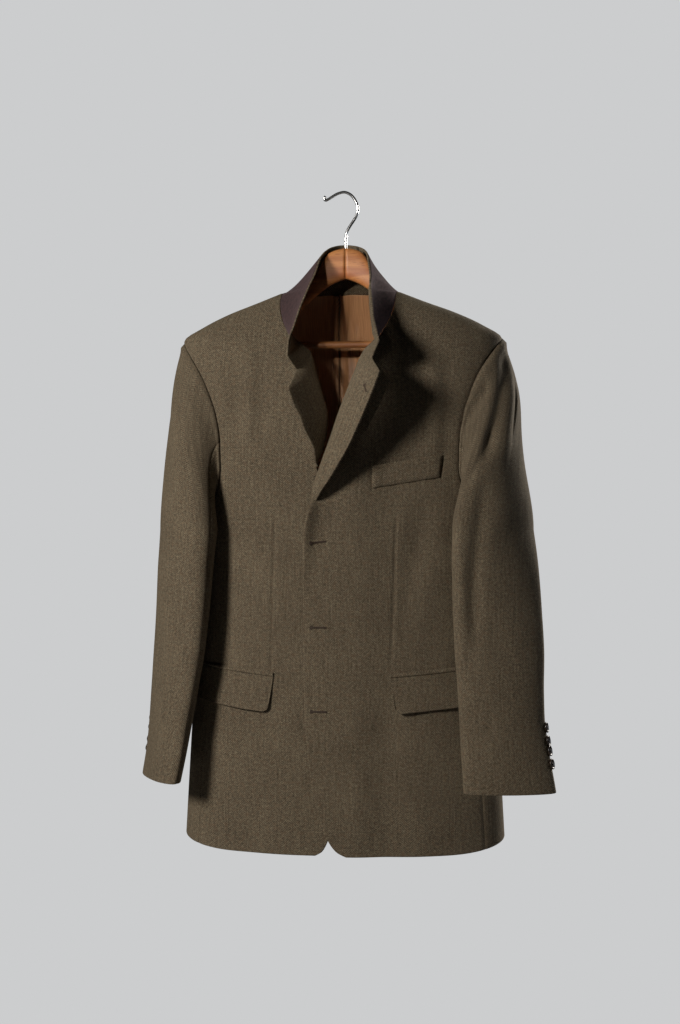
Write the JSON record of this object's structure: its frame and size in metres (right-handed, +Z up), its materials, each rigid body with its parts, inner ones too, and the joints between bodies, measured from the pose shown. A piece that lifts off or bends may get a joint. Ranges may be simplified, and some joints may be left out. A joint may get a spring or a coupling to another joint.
{
  "type": "blazer on a wooden hanger",
  "caption": "Single-breasted notch-lapel wool blazer with its collar turned up, lined back and flap pockets, hanging open on a contoured wooden hanger by a wire hook.",
  "frame": {"origin": "inside of the hook's arc, where a rod carries it", "axes": "+Z up, -Y out of the fronts, +X to the wearer's left"},
  "size_m": [0.5905, 0.261, 0.9339],
  "materials": {
    "wool_suiting": "fine herringbone wool, soft matte nap",
    "melton": "felted melton, matte",
    "lining_satin": "satin lining, soft sheen",
    "button_horn": "dark horn, low gloss",
    "hanger_wood": "clear lacquered beech",
    "hook_wire": "bright plated steel wire"
  },
  "bodies": {
    "root": {"left_front": "wool_suiting", "right_front": "wool_suiting", "left_side": "wool_suiting", "right_side": "wool_suiting", "left_back": "wool_suiting", "right_back": "wool_suiting", "left_top_sleeve": "wool_suiting", "left_under_sleeve": "wool_suiting", "right_top_sleeve": "wool_suiting", "right_under_sleeve": "wool_suiting", "top_collar": "wool_suiting", "left_facing": "wool_suiting", "right_facing": "wool_suiting", "breast_welt": "wool_suiting", "left_flap": "wool_suiting", "left_jet": "wool_suiting", "right_flap": "wool_suiting", "right_jet": "wool_suiting", "undercollar": "melton", "back_lining": "lining_satin", "front_button_1": "button_horn", "front_button_2": "button_horn", "front_button_3": "button_horn", "left_cuff_button_1": "button_horn", "left_cuff_button_2": "button_horn", "left_cuff_button_3": "button_horn", "left_cuff_button_4": "button_horn", "right_cuff_button_1": "button_horn", "right_cuff_button_2": "button_horn", "right_cuff_button_3": "button_horn", "right_cuff_button_4": "button_horn", "hanger_arm_left": "hanger_wood", "hanger_arm_right": "hanger_wood", "trouser_bar": "hanger_wood", "hook": "hook_wire"}
  },
  "joints": []
}
